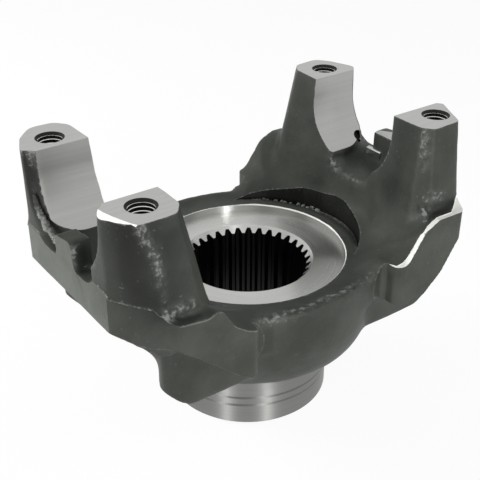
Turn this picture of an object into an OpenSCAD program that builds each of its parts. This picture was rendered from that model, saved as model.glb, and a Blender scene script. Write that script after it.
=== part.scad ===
// Forged end yoke with half-round bearing seats and a splined hub.
// One steel forging: hub down, four bolt prongs up, the cross axis along X.
// The origin is the centre of the hub's lower face.

/* [Hub] */
// Outside diameter of the seal journal
hub_d = 75; // [72:0.5:80]
// Height of the machined nut face above the foot of the hub
face_h = 66.5; // [62:0.5:73]
// Diameter of the machined nut face
face_d = 88.2; // [82:0.2:92]
// Depth of the nut face below the rim around it
face_sink = 3.3; // [2:0.1:5]
// Height of the seal journal's first step
journal_step_h = 10; // [6:0.5:12]
// Height of the second step
shoulder_step_h = 15; // [13:0.5:21]
// How far each step stands out
step_out = 0.5; // [0.2:0.1:1]
// Chamfer at the foot of the hub
hub_chamfer = 1.2; // [0.4:0.2:2.5]
// Fillet where the hub runs into the boss
hub_fillet = 3; // [1.5:0.5:4]

/* [Spline] */
// Number of internal teeth
spline_teeth = 34; // [24:1:40]
// Diameter across the tooth tips
spline_tip_d = 53.6; // [48:0.2:56]
// Height of a tooth
spline_tooth_h = 1.9; // [1.2:0.05:2.2]
// Chamfer at both mouths of the bore
bore_chamfer = 1.1; // [0.4:0.1:2]

/* [Boss] */
// Outside diameter of the round boss at the parting band
boss_d = 115; // [110:1:121]
// Diameter of the boss at its lower edge
skirt_d = 98; // [94:1:104]
// Height of the boss's lower edge
skirt_h = 31; // [27:1:37]
// Width of the raised rim around the nut face, on the ear side
rim_w = 5.9; // [4:0.1:7]
// Height of the boss's outer edge above the rim
edge_rise = 2; // [0.5:0.5:3.5]
// Width of the boss's outer edge
edge_w = 3.5; // [2.5:0.5:4.5]
// Chamfer around the boss's outer edge
edge_chamfer = 1.4; // [0.8:0.2:2]
// Depth of the crescent valley between the rim and each ear
valley_depth = 3; // [1.5:0.5:5]
// Reach of a valley from the middle
valley_out = 56.5; // [55:0.5:58]
// Radius of a valley's outer wall
valley_r = 40; // [37:0.5:43]
// Angle by which each valley lies off the cross axis
valley_turn = 12; // [0:1:15]

/* [Bearing seats] */
// Diameter of the bearing cups that the seats hold
seat_d = 55; // [50:0.5:58]
// Distance between the outer ends of the two seats
seat_span = 167; // [163:1:172]
// Distance between the inner ends of the two seats
seat_gap = 121; // [117:1:124]
// Height of the cross axis above the foot of the hub
axis_h = 121; // [116:0.5:128]
// Thickness of the lip outside each seat
lip_t = 4.5; // [3.5:0.5:7]
// How far the bevel outside a seat opens at the top
bevel_w = 5; // [3:0.5:7]
// Half width of the forged pocket below a seat
pocket_half = 13; // [10:0.5:15]
// Depth of the pocket below the lowest line of the seat
pocket_drop = 3.5; // [1:0.5:4.5]
// Width of the retaining lug
lug_w = 12; // [8:0.5:14]
// Thickness of the retaining lug
lug_t = 6.5; // [4:0.5:7]
// Height of the lug above the lowest line of the seat
lug_h = 12; // [6:0.5:13]
// How far the lug stands in from the flat end of its ear
lug_in = 1.2; // [0.8:0.2:2]
// How much the pocket widens on each side of the lug
relief_w = 6.5; // [4:0.5:8]

/* [Prongs] */
// Height of the prong tops above the cross axis
prong_rise = 9; // [5:0.5:12]
// Distance from a seat's wall to the centre of a bolt hole
bolt_wall = 9.5; // [9:0.5:12]
// Distance from a seat's inner end to the centre of a bolt hole
bolt_in = 12.5; // [11:0.5:15]
// Thread diameter of the strap bolts
bolt_d = 12; // [10:1:14]
// Depth of a bolt hole
bolt_depth = 32; // [20:1:36]
// Metal between a bolt hole's centre and the front of the prong
front_wall = 13; // [12:0.5:16]
// How far a prong's inner side leans out from its root to its top
prong_lean = 9; // [6:0.5:12]
// How far a prong's front leans back from its root to its top
front_lean = 3.5; // [2:0.5:5]
// Chamfer at the mouth of a bolt hole
mouth_chamfer = 1.1; // [0.6:0.1:1.6]

/* [Parting band] */
// How far the band's front wall stands out from a prong's top
band_out = 9.5; // [8:0.5:12]
// Distance from the middle to the inner wall of a wing
wing_in = 36; // [34:0.5:39]
// Distance from the middle to the front corner of a wing
wing_corner = 72.5; // [69:0.5:76]
// Half width of the flat end of an ear
end_half = 34; // [31:0.5:36]
// Height of the band's top above the nut face at a wing's low end
band_low = 8.5; // [6:0.5:11]
// Height of the band's top above the nut face beside a prong
band_high = 24.5; // [20:0.5:28]
// Depth of the band's lower edge below the nut face at a wing's low end
foot_low = 10; // [7:0.5:12]
// Height of the band's lower edge above the nut face at the end of an ear
foot_high = 13.5; // [10:0.5:16]
// Height of the steep wall between the boss and an ear, above the rim
dish_h = 7; // [4:0.5:9]
// Distance from the middle plane to the groove where a wing meets the boss
fill_y = 50.5; // [49:0.5:53]
// Length along which the top of the band rises beside a prong
wave_len = 12; // [9:1:15]
// Width of the slope between the boss and an ear
slope_w = 17; // [14:1:20]
// How far an ear's underside stands in from the flat end
under_in = 13; // [10:1:16]

/* [Gussets] */
// Depth of the gussets below the nut face
gusset_drop = 24.5; // [18:0.5:28]
// How far a gusset stands in from the flat end of its ear
gusset_in = 12.5; // [9:0.5:16]
// How far a gusset stands in from the band's front wall
gusset_side = 11.5; // [8:0.5:14]
// Width of a gusset
gusset_w = 17; // [13:0.5:20]
// Height of the slope at the outer foot of a gusset
gusset_slope = 18; // [14:1:22]

/* [Hidden] */
forged = [0.27, 0.29, 0.27];
steps = 5;
cut = 1;
ledge = 0.5;
root_share = 0.42;
flank_share = 0.62;
drill_share = 0.425;

seat_r = seat_d / 2;
seat_in = seat_gap / 2;
seat_out = seat_span / 2;
seat_len = seat_out - seat_in;
end_x = seat_out + lip_t;
lug_x = end_x - lug_in - lug_t;
top_h = axis_h + prong_rise;
bolt_x = seat_in + bolt_in;
bolt_y = seat_r + bolt_wall;
drill_r = bolt_d * drill_share;
prong_y = bolt_y + front_wall;
band_y = prong_y + band_out;
boss_r = boss_d / 2;
face_r = face_d / 2;
rim_h = face_h + face_sink;
seat_low = axis_h - seat_r;
root_h = face_h + band_high;

function unit(v) = v / norm(v);

// Arc that rounds corner p, between the neighbours a and b, by radius p[2]
function corner(a, p, b) =
    let (o = [p.x, p.y],
         u = unit([a.x, a.y] - o),
         v = unit([b.x, b.y] - o),
         half = acos(u * v) / 2,
         c = o + unit(u + v) * p[2] / sin(half),
         from = o + u * p[2] / tan(half) - c,
         to = o + v * p[2] / tan(half) - c,
         start = atan2(from.y, from.x),
         turn = sign(cross(from, to)) * acos(unit(from) * unit(to)))
    [for (i = [0:steps]) c + p[2] * [cos(start + turn * i / steps), sin(start + turn * i / steps)]];

// Outline through points [x, y, radius], where a radius of 0 leaves the corner sharp
function rounded(p) =
    let (n = len(p))
    [for (i = [0:n - 1]) each
        p[i][2] == 0 ? [[p[i].x, p[i].y]] : corner(p[(i + n - 1) % n], p[i], p[(i + 1) % n])];

// Points and their mirror images in the line y = 0, as one closed outline
function both_sides(p) =
    concat(p, [for (i = [len(p) - 1:-1:0]) [p[i].x, -p[i].y, p[i][2]]]);

// A profile drawn in X and Z, extruded to both sides of the middle plane
module front_profile(p, half_depth) {
    translate([0, half_depth, 0])
        rotate([90, 0, 0])
            linear_extrude(2 * half_depth)
                polygon(rounded(p));
}

module both_ears() {
    children();
    mirror([1, 0, 0])
        children();
}

module all_prongs() {
    both_ears() {
        children();
        mirror([0, 1, 0])
            children();
    }
}

// Hub, skirt and boss, turned about the spline axis
module hub_and_boss() {
    hub_r = hub_d / 2;
    neck_r = hub_r + 2 * step_out;
    skirt_r = skirt_d / 2;
    skirt_edge = 2;
    flank = boss_r - skirt_r;
    rise = flank_share * (face_h - skirt_h);
    rotate_extrude($fn = 96)
        polygon(concat(
            [[0, 0], [hub_r - hub_chamfer, 0], [hub_r, hub_chamfer]],
            [[hub_r, journal_step_h], [hub_r + step_out, journal_step_h + step_out]],
            [[hub_r + step_out, shoulder_step_h]],
            [[neck_r, shoulder_step_h + step_out]],
            [[neck_r, skirt_h - hub_fillet], [neck_r + hub_fillet, skirt_h]],
            [[skirt_r - 1.5 * skirt_edge, skirt_h], [skirt_r, skirt_h + skirt_edge]],
            [for (a = [15:15:90]) [skirt_r + flank * sin(a), skirt_h + skirt_edge + rise * (1 - cos(a))]],
            [[boss_r, rim_h + edge_rise - edge_chamfer], [boss_r - edge_chamfer, rim_h + edge_rise]],
            [[boss_r - edge_w, rim_h + 0.6 * edge_rise], [face_r + rim_w, rim_h]],
            [[0, rim_h]]));
}

// Plan of the parting band around one ear, from the boss to the flat end
function band_plan() = both_sides([
    [0, fill_y - 4, 0],
    [boss_r * 0.24, boss_r * 0.968, 0],
    [wing_in, fill_y, 3],
    [wing_in, band_y, 4],
    [wing_corner, band_y, 5],
    [end_x, end_half, 0]]);

// The vertical band that the trimming die leaves, waved in height
module parting_band() {
    high = face_h + band_high;
    low = face_h + band_low;
    under_low = face_h - foot_low;
    under_high = face_h + foot_high;
    rise_x = wing_in + wave_len / 2;
    intersection() {
        translate([0, 0, skirt_h])
            linear_extrude(top_h)
                polygon(rounded(band_plan()));
        front_profile([
            [0, rim_h - edge_rise, 0],
            [wing_in - wave_len, rim_h - edge_rise + ledge, 0],
            [wing_in - cut, low - ledge, 0],
            [rise_x, low + 2, 8],
            [rise_x + wave_len, high, 7],
            [wing_corner, high, 0],
            [end_x, high + 4, 0],
            [end_x, under_high, 0],
            [wing_corner - cut, under_high, 6],
            [rise_x + wave_len - 3, under_low + 1.5, 10],
            [rise_x, under_low - 1.5, 6],
            [wing_in - 2 * cut, under_low, 0],
            [0, under_low + cut, 0]], band_y + cut);
    }
}

// Side view of the web under an ear
module ear_web_profile() {
    foot = skirt_h + 2;
    foot_end = face_h + foot_high;
    front_profile([
        [0, foot, 0],
        [skirt_d / 2 - cut, foot, 6],
        [end_x - under_in, foot_end - under_in + cut, 12],
        [end_x, foot_end, 0],
        [end_x, root_h - 2, 0],
        [seat_in + 2, root_h - 2, 0],
        [wing_in + 4, rim_h - 2, 0],
        [0, rim_h - 2, 0]], end_half + 2);
}

// Space that the ear's block may fill, above the underside
module ear_envelope() {
    front_profile([
        [0, rim_h - 2, 0],
        [end_x - under_in - 7, rim_h, 0],
        [end_x, face_h + foot_high, 0],
        [end_x, top_h + cut, 0],
        [0, top_h + cut, 0]], band_y);
}

// Web under the middle of an ear, from the skirt to the flat end
module ear_web() {
    intersection() {
        translate([0, 0, skirt_h])
            linear_extrude(top_h)
                polygon(rounded(band_plan()));
        ear_web_profile();
    }
}

// Ring of the ear loft: h is the height share from root (0) to top (1), and below the root
// the inner side sweeps in to meet the boss
function ear_ring(h) =
    let (lean = prong_lean * (1 - max(h, 0)),
         back = front_lean * (1 - max(h, 0)),
         sweep = max(-h, 0) / root_share,
         nose = 6 + 2 * (1 - max(h, 0)))
    both_sides([
        [seat_in - 0.9 - 2 * sweep, pocket_half + 2, 3],
        [seat_in - 1.2 - lean * 0.3 - 6 * sweep, seat_r, 6],
        [seat_in - lean - 6.5 * sweep, prong_y + back - nose, 5],
        [bolt_x - 7 - lean * 0.7 - 4 * sweep, prong_y + back, 5],
        [bolt_x + 4 - lean * 0.2, prong_y + back - 0.5 * h, 6],
        [end_x - 3.2, end_half + 6.8 - lean * 0.1, 4],
        [end_x - ledge, end_half - ledge, 0]]);

// Block of an ear with both prongs still joined, lofted through its rings
module ear_loft() {
    shares = [-root_share, -root_share * 0.7, -root_share * 0.35, 0, 0.38, 1];
    rings = [for (h = shares) rounded(ear_ring(h))];
    n = len(rings[0]);
    last = len(shares) - 1;
    points = [for (k = [0:last], p = rings[k]) [p.x, p.y, root_h + (top_h - root_h) * shares[k]]];
    sides = [for (k = [0:last - 1], i = [0:n - 1]) each [
        [k * n + i, k * n + (i + 1) % n, (k + 1) * n + i],
        [(k + 1) * n + i, k * n + (i + 1) % n, (k + 1) * n + (i + 1) % n]]];
    polyhedron(points, concat(
        [[for (i = [n - 1:-1:0]) i]],
        sides,
        [[for (i = [0:n - 1]) last * n + i]]));
}

// Gusset that carries a prong down to the boss, below the band
module gusset() {
    out_x = end_x - gusset_in;
    out_y = band_y - gusset_side;
    foot = face_h - gusset_drop;
    lift = gusset_drop + foot_high + 3;
    inner = wing_in - 4;
    heel = 10;
    toe = 13;
    intersection() {
        translate([0, 0, foot])
            linear_extrude(lift)
                polygon(rounded([
                    [inner, out_y - gusset_w, 0],
                    [out_x - gusset_slope / 2, out_y - gusset_w, 4],
                    [out_x, out_y, 7],
                    [inner, out_y, 4],
                    [inner - heel, out_y - heel, 0]]));
        front_profile([
            [0, foot - cut, 0],
            [out_x - toe, foot, 8],
            [out_x - 3, foot + gusset_slope / 2, 8],
            [out_x + cut, foot + gusset_slope, 8],
            [out_x + cut, foot + lift + cut, 0],
            [inner - cut, face_h + cut, 0],
            [0, face_h + cut, 0]], band_y);
    }
}

// Round space above the boss that the ears leave open
module boss_clearance() {
    translate([0, 0, rim_h - valley_depth - cut])
        cylinder(h = dish_h + valley_depth + cut, r = boss_r + ledge, $fn = 96);
}

// Dish that runs from the boss's edge up to the tops of the wings
module band_dish() {
    foot_r = boss_r + ledge;
    slope_r = boss_r + slope_w;
    lip_w = 6;
    rotate_extrude($fn = 96)
        polygon([
            [0, face_h],
            [foot_r, face_h],
            [foot_r, rim_h + dish_h - 2],
            [slope_r, root_h - 3.5],
            [slope_r + lip_w, root_h + lip_w / 2],
            [slope_r + lip_w, top_h],
            [0, top_h]]);
}

// Crescent valley between the boss's rim and an ear
module valley() {
    difference() {
        rotate([0, 0, valley_turn])
            translate([valley_out - valley_r, 0, rim_h - valley_depth])
                cylinder(h = valley_depth + edge_rise + cut, r = valley_r, $fn = 96);
        translate([0, 0, rim_h - valley_depth - cut])
            cylinder(h = valley_depth + edge_rise + 3 * cut, r = face_r + rim_w + 0.1, $fn = 96);
    }
}

// Seat for one bearing cup, open at the top so that the cup drops in
module seat_cut() {
    reach = end_x - seat_in + 4 * cut;
    open_in = prong_lean + 6;
    translate([seat_in - 2 * cut, 0, axis_h])
        rotate([0, 90, 0])
            cylinder(h = reach, r = seat_r, $fn = 96);
    translate([seat_in - open_in, -seat_r, axis_h + cut])
        cube([open_in + reach, seat_d, prong_rise + cut]);
}

// Bevel that opens the prongs outside the seat
module seat_bevel() {
    grow = bevel_w * (lip_t + cut) / lip_t;
    translate([seat_out, 0, axis_h + 3])
        rotate([0, 90, 0])
            cylinder(h = lip_t + cut, r1 = seat_r - 0.5, r2 = seat_r + grow - 3, $fn = 96);
    translate([0, 0, axis_h])
        linear_extrude(prong_rise + cut)
            polygon([
                [seat_out, -seat_r],
                [seat_out + lip_t + cut, -seat_r - grow],
                [seat_out + lip_t + cut, seat_r + grow],
                [seat_out, seat_r]]);
}

// Forged pocket below the seat, which widens beside the lug
module pocket_cut() {
    floor_h = seat_low - pocket_drop;
    edge_h = axis_h - sqrt(pow(seat_r, 2) - pow(pocket_half, 2));
    slope = 4;
    translate([seat_in - 2 * cut, 0, 0])
        rotate([90, 0, 90])
            linear_extrude(lug_x - seat_in + 2 * cut)
                polygon(rounded([
                    [-pocket_half - 2, edge_h + 3, 0],
                    [-pocket_half, edge_h - 0.5, 1],
                    [-pocket_half + slope, floor_h, 3],
                    [pocket_half - slope, floor_h, 3],
                    [pocket_half, edge_h - 0.5, 1],
                    [pocket_half + 2, edge_h + 3, 0]]));
    translate([0, 0, edge_h])
        linear_extrude(lug_h)
            polygon(rounded(both_sides([
                [lug_x - lug_t, 0, 0],
                [lug_x - lug_t, pocket_half, 0],
                [seat_out - cut, pocket_half + relief_w, 5],
                [end_x + 4 * cut, pocket_half + relief_w, 0]])));
}

// Lug that stops the cup from moving out along the seat
module lug() {
    translate([lug_x, 0, 0])
        rotate([90, 0, 90])
            linear_extrude(lug_t)
                polygon(rounded([
                    [-lug_w / 2 - 1, seat_low - pocket_drop - 3, 0],
                    [lug_w / 2 + 1, seat_low - pocket_drop - 3, 0],
                    [lug_w / 2 - 0.5, seat_low + lug_h, 2],
                    [-lug_w / 2 + 0.5, seat_low + lug_h, 2]]));
}

// Blind hole for a strap bolt, from the top of a prong
module bolt_hole() {
    tip_h = drill_r * 0.6;
    translate([bolt_x, bolt_y, top_h - bolt_depth]) {
        cylinder(h = bolt_depth + cut, r = drill_r, $fn = 32);
        translate([0, 0, -tip_h])
            cylinder(h = tip_h, r1 = 0, r2 = drill_r, $fn = 32);
        translate([0, 0, bolt_depth - mouth_chamfer])
            cylinder(h = mouth_chamfer + cut, r1 = drill_r, r2 = drill_r + mouth_chamfer + cut, $fn = 32);
    }
}

// Nut face, splined bore and the chamfers at both mouths
module bore_cuts() {
    tip_r = spline_tip_d / 2;
    root_r = tip_r + spline_tooth_h;
    mouth_r = root_r + bore_chamfer;
    pitch = 360 / spline_teeth;
    translate([0, 0, face_h])
        cylinder(h = face_sink + cut, r = face_r, $fn = 96);
    translate([0, 0, -cut])
        linear_extrude(face_h + 2 * cut)
            polygon([for (i = [0:spline_teeth - 1], s = [[-0.36, 0], [-0.14, 1], [0.14, 1], [0.36, 0]])
                let (r = tip_r + s[1] * spline_tooth_h, a = (i + s[0]) * pitch) r * [cos(a), sin(a)]]);
    translate([0, 0, face_h - bore_chamfer - spline_tooth_h])
        cylinder(h = mouth_r - tip_r + cut, r1 = tip_r, r2 = mouth_r + cut, $fn = 96);
    translate([0, 0, -cut])
        cylinder(h = mouth_r - tip_r + cut, r1 = mouth_r + cut, r2 = tip_r, $fn = 96);
}

module yoke() {
    color(forged)
        difference() {
            union() {
                difference() {
                    union() {
                        hub_and_boss();
                        difference() {
                            both_ears() {
                                difference() {
                                    union() {
                                        parting_band();
                                        ear_web();
                                    }
                                    band_dish();
                                }
                                intersection() {
                                    ear_loft();
                                    ear_envelope();
                                }
                            }
                            boss_clearance();
                        }
                        all_prongs()
                            gusset();
                    }
                    both_ears() {
                        valley();
                        seat_cut();
                        seat_bevel();
                        pocket_cut();
                    }
                }
                both_ears()
                    lug();
            }
            all_prongs()
                bolt_hole();
            bore_cuts();
        }
}

yoke();
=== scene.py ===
"""Looks of a forged end yoke with half-round bearing seats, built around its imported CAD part.

The forging is modelled as it is made: the forged blank first, then the faces that the trimming die
shears, then the machined faces. Tables of shapes are in millimetres, as drawn on paper, and all
else is in metres. +Z goes up the spline axis and +X along the cross axis.
"""

import math

import bmesh
import bpy
import numpy as np
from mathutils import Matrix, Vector, noise


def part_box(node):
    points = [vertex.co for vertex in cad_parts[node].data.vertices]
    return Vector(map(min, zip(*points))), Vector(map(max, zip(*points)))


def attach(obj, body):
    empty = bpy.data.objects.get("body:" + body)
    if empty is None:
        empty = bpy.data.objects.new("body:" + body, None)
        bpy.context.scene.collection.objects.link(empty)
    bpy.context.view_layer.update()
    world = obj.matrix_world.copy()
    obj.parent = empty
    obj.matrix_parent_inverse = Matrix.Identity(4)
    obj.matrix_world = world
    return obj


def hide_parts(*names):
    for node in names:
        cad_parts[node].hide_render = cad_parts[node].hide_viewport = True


bl_info = {
    "name": "Forged yoke",
    "version": (1, 0, 0),
    "blender": (4, 5, 0),
    "location": "View3D > Sidebar > Yoke",
    "description": "Models a forged end yoke, its machined faces and its photo stage",
    "category": "Add Mesh",
}

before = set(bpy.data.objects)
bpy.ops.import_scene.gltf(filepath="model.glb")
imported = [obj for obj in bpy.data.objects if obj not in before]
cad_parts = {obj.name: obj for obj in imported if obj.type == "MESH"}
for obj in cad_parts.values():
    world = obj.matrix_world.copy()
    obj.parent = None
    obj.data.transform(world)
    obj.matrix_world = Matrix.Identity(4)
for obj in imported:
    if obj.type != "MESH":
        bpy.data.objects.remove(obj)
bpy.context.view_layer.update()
YOKE_LOW, YOKE_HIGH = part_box("yoke")
PIECE = "yoke_forging"
MM = 0.001
# Gap that keeps two faces out of one plane
HAIR = 0.0001
# A height over the whole part, where cutting tools may end
ABOVE = 0.15
# Spans of tools that reach right through: across the yoke, and up through a band
ACROSS = (-0.07, 0.07)
THROUGH = (0.03, 0.12)
# Directions round which profiles are turned
UP = (0, 0, 1)
CROSS = (1, 0, 0)


# Sizes and colours


def length(name, description, millimetres):
    """A length property with its default given in millimetres."""
    return bpy.props.FloatProperty(
        name=name, description=description, default=millimetres * MM, unit="LENGTH", precision=4
    )


def colour(name, description, value):
    """A colour property."""
    return bpy.props.FloatVectorProperty(
        name=name, description=description, default=value, size=3, subtype="COLOR", min=0, max=1
    )


class YokeForgingSizes(bpy.types.PropertyGroup):
    """Sizes of the forged blank"""

    boss_radius: length("Boss radius", "Radius of the round boss", 57.5)
    skirt_radius: length("Skirt radius", "Radius of the boss at its lower edge", 49)
    skirt_height: length("Skirt height", "Height of the boss's lower edge", 31)
    rim_height: length("Rim height", "Height of the rim around the nut face", 69.8)
    rim_radius: length("Rim radius", "Outer radius of the rim around the nut face", 50)
    band_side: length("Band side", "Distance from the middle to the band's front wall", 59.5)
    wing_inner: length("Wing", "Distance from the middle to a wing's inner wall", 36)
    end: length("End", "Distance from the middle to the flat end of an ear", 88)
    end_half: length("End half width", "Half width of the flat end", 34)
    root_height: length("Root height", "Height at which the prongs part from the band", 91)
    top_height: length("Top height", "Height of the machined prong tops", 130)
    stock: length("Stock", "Metal left on the blank for machining", 1.6)
    voxel: length("Grain", "Size of the cells that melt the blank's pieces together", 1.15)
    dent: length("Dent depth", "Depth of the shallow dents that forging leaves", 0.5)


class YokeMachiningSizes(bpy.types.PropertyGroup):
    """Sizes of the machined faces"""

    seat_radius: length("Seat radius", "Radius of a half-round bearing seat", 27.5)
    seat_outer: length("Seat end", "Distance from the middle to a seat's outer end", 83.5)
    axis_height: length("Axis height", "Height of the cross axis", 121)
    bolt_x: length("Bolt distance", "Distance of the bolt holes along the cross axis", 73)
    bolt_y: length("Bolt offset", "Distance of the bolt holes from the cross axis", 37)
    thread_radius: length("Thread radius", "Outside radius of the strap bolts' thread", 6)
    thread_pitch: length("Thread pitch", "Rise of the thread for each turn", 1.75)
    bolt_depth: length("Bolt depth", "Depth of a bolt hole", 32)
    face_height: length("Nut face height", "Height of the nut face", 66.5)
    face_radius: length("Nut face radius", "Radius of the nut face", 44.1)
    hub_radius: length("Hub radius", "Radius of the journal on the hub", 37.5)
    tip_radius: length("Tip radius", "Radius over the spline's tooth tips", 26.8)
    tooth_height: length("Tooth height", "Height of a spline tooth", 1.9)
    bore_chamfer: length("Bore chamfer", "Chamfer at the mouths of the bore", 1.1)
    teeth: bpy.props.IntProperty(
        name="Teeth", description="Number of spline teeth", default=34, min=12, max=60
    )


class YokeFinish(bpy.types.PropertyGroup):
    """Colours of the finish"""

    scale: colour("Forged scale", "Oiled oxide scale on the forged faces", (0.05, 0.054, 0.047))
    scale_dark: colour("Dark scale", "Darker patches of the scale", (0.032, 0.035, 0.030))
    bare: colour("Bare edge", "Metal that shows through at edges and flash", (0.175, 0.18, 0.17))
    steel: colour("Machined steel", "Freshly cut steel", (0.52, 0.525, 0.505))
    # Near-white ledge colour, lighter than cut steel: bare metal with a painted highlight.
    ledge: colour("Bare ledge", "Bright metal where the flash tore off", (0.78, 0.78, 0.75))
    floor: colour("Floor", "The pale floor", (0.8, 0.8, 0.8))


# Outlines


def rounded(corners, steps=5):
    """Outline through corners (x, y, radius), where a radius of 0 leaves a corner sharp."""
    points = []
    for i, (x, y, radius) in enumerate(corners):
        here = Vector((x, y))
        if radius == 0:
            points.append(here)
            continue
        before = (Vector(corners[i - 1][:2]) - here).normalized()
        after = (Vector(corners[(i + 1) % len(corners)][:2]) - here).normalized()
        half = before.angle(after) / 2
        centre = here + (before + after).normalized() * radius / math.sin(half)
        start = here + before * radius / math.tan(half) - centre
        end = here + after * radius / math.tan(half) - centre
        for k in range(steps + 1):
            points.append(centre + start.lerp(end, k / steps).normalized() * radius)
    return points


def both_sides(corners):
    """Corners and their mirror images in y = 0, as one closed outline."""
    return corners + [(x, -y, radius) for x, y, radius in reversed(corners)]


def rectangle(left, low, right, high):
    """Corners of a rectangle."""
    return [(left, low), (right, low), (right, high), (left, high)]


def scaled(outline):
    """An outline given in millimetres, in metres."""
    return [Vector(p) * MM for p in outline]


def mirrored(outline, side):
    """Outline in x and another axis, on the ear at +X (side 1) or -X (side -1)."""
    return [Vector((side * p[0], p[1])) for p in outline]


def walk(line, share):
    """Place and direction at a share of the way along a line of points."""
    where = share * (len(line) - 1)
    step = min(int(where), len(line) - 2)
    start, end = line[step], line[step + 1]
    return start.lerp(end, where - step), (end - start).normalized()


# Modelling helpers


def select_only(piece):
    """Leave one piece selected and active, in object mode."""
    bpy.ops.object.select_all(action="DESELECT")
    piece.select_set(True)
    bpy.context.view_layer.objects.active = piece


def add_loop(name, points):
    """A circle primitive whose vertices are moved to the given points, in metres."""
    bpy.ops.object.select_all(action="DESELECT")
    bpy.ops.mesh.primitive_circle_add(vertices=len(points), radius=1, fill_type="NOTHING")
    piece = bpy.context.object
    piece.name = name
    for vertex, point in zip(piece.data.vertices, points):
        vertex.co = point
    return piece


def close_normals():
    """Merge doubles, turn the faces outwards and leave edit mode."""
    bpy.ops.mesh.select_all(action="SELECT")
    bpy.ops.mesh.remove_doubles(threshold=0.00001)
    bpy.ops.mesh.normals_make_consistent(inside=False)
    bpy.ops.object.mode_set(mode="OBJECT")


def add_prism(name, outline, along, start, end):
    """Outline in the plane across an axis, X, Y or Z, extruded along it from start to end."""
    axis = "XYZ".index(along)
    step = [0, 0, 0]
    step[axis] = end - start
    piece = add_loop(name, [(*pair[:axis], start, *pair[axis:]) for pair in outline])
    bpy.ops.object.mode_set(mode="EDIT")
    bpy.ops.mesh.select_all(action="SELECT")
    bpy.ops.mesh.edge_face_add()
    bpy.ops.mesh.extrude_region_move(TRANSFORM_OT_translate={"value": tuple(step)})
    close_normals()
    return piece


def add_loft(name, rings):
    """Closed skin through rings of points that have the same count."""
    count = len(rings[0])
    piece = add_loop(name, rings[0])
    for ring in rings[1:]:
        bpy.ops.object.mode_set(mode="EDIT")
        cells = bmesh.from_edit_mesh(piece.data)
        last = {v.index for v in list(cells.verts)[-count:]}
        for vertex in cells.verts:
            vertex.select = vertex.index in last
        cells.select_flush(False)
        for edge in cells.edges:
            edge.select = all(v.index in last for v in edge.verts)
        bmesh.update_edit_mesh(piece.data)
        bpy.ops.mesh.extrude_edges_move(TRANSFORM_OT_translate={"value": (0, 0, MM)})
        bpy.ops.object.mode_set(mode="OBJECT")
        for vertex, point in zip(list(piece.data.vertices)[-count:], ring):
            vertex.co = point
    bpy.ops.object.mode_set(mode="EDIT")
    for first in (0, (len(rings) - 1) * count):
        cells = bmesh.from_edit_mesh(piece.data)
        cells.verts.ensure_lookup_table()
        cells.faces.new([cells.verts[first + k] for k in range(count)])
        bmesh.update_edit_mesh(piece.data)
    close_normals()
    return piece


def add_turned(name, profile, steps=128, axis=UP, centre=(0, 0, 0)):
    """Profile of (radius, height) turned once round an axis, UP or CROSS, through centre."""
    if axis == UP:
        points = [(centre[0] + r, centre[1], centre[2] + h) for r, h in profile]
    else:
        points = [(centre[0] + h, centre[1], centre[2] + r) for r, h in profile]
    piece = add_loop(name, points)
    bpy.ops.object.mode_set(mode="EDIT")
    bpy.ops.mesh.select_all(action="SELECT")
    bpy.ops.mesh.spin(steps=steps, angle=2 * math.pi, center=centre, axis=axis)
    close_normals()
    return piece


def apply_modifier(piece, kind, **values):
    """Add a modifier with its values and apply it."""
    select_only(piece)
    bpy.ops.object.modifier_add(type=kind)
    modifier = piece.modifiers[-1]
    for key, value in values.items():
        setattr(modifier, key, value)
    bpy.ops.object.modifier_apply(modifier=modifier.name)


def combine(piece, tool, operation):
    """Boolean of two closed pieces; the tool is used up, and its faces keep their finish."""
    apply_modifier(
        piece, "BOOLEAN", operation=operation, solver="MANIFOLD", object=tool,
        material_mode="TRANSFER",
    )
    bpy.data.objects.remove(tool)
    return piece


def cut(piece, tool):
    """Take a tool's space away from a piece."""
    return combine(piece, tool, "DIFFERENCE")


def join(piece, other):
    """Add another piece to a piece."""
    return combine(piece, other, "UNION")


def finished(piece, material):
    """Give a piece or a cutting tool one finish."""
    piece.data.materials.clear()
    piece.data.materials.append(bpy.data.materials[material])
    return piece


def finish_some(piece, material, chosen):
    """Give a second finish to the faces for which chosen is true."""
    piece.data.materials.append(bpy.data.materials[material])
    for face in piece.data.polygons:
        if chosen(face):
            face.material_index = 1
    return piece


# The skin as arrays


def arrays(piece):
    """Vertex places and edges of a mesh as arrays."""
    places = np.empty(len(piece.data.vertices) * 3)
    piece.data.vertices.foreach_get("co", places)
    edges = np.empty(len(piece.data.edges) * 2, dtype=np.int64)
    piece.data.edges.foreach_get("vertices", edges)
    return places.reshape(-1, 3), edges.reshape(-1, 2)


def place_vertices(piece, places):
    """Write the vertex places back."""
    piece.data.vertices.foreach_set("co", places.reshape(-1))
    piece.data.update()


def vertex_normals(piece):
    """Vertex normals as an array."""
    normals = np.empty(len(piece.data.vertices) * 3)
    piece.data.vertex_normals.foreach_get("vector", normals)
    return normals.reshape(-1, 3)


def neighbour_mean(places, edges):
    """Mean place of each vertex's neighbours."""
    total = np.zeros_like(places)
    count = np.zeros(len(places))
    for a, b in ((0, 1), (1, 0)):
        np.add.at(total, edges[:, a], places[edges[:, b]])
        np.add.at(count, edges[:, a], 1)
    return total / np.maximum(count, 1)[:, None]


def fill_hollows(piece, rounds, pull=0.8):
    """Round the inner corners, as a die does, and leave the outer ones as they are."""
    for _ in range(rounds):
        places, edges = arrays(piece)
        shift = neighbour_mean(places, edges) - places
        inward = np.einsum("ij,ij->i", shift, vertex_normals(piece)) > 0
        places[inward] += pull * shift[inward]
        place_vertices(piece, places)


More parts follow.
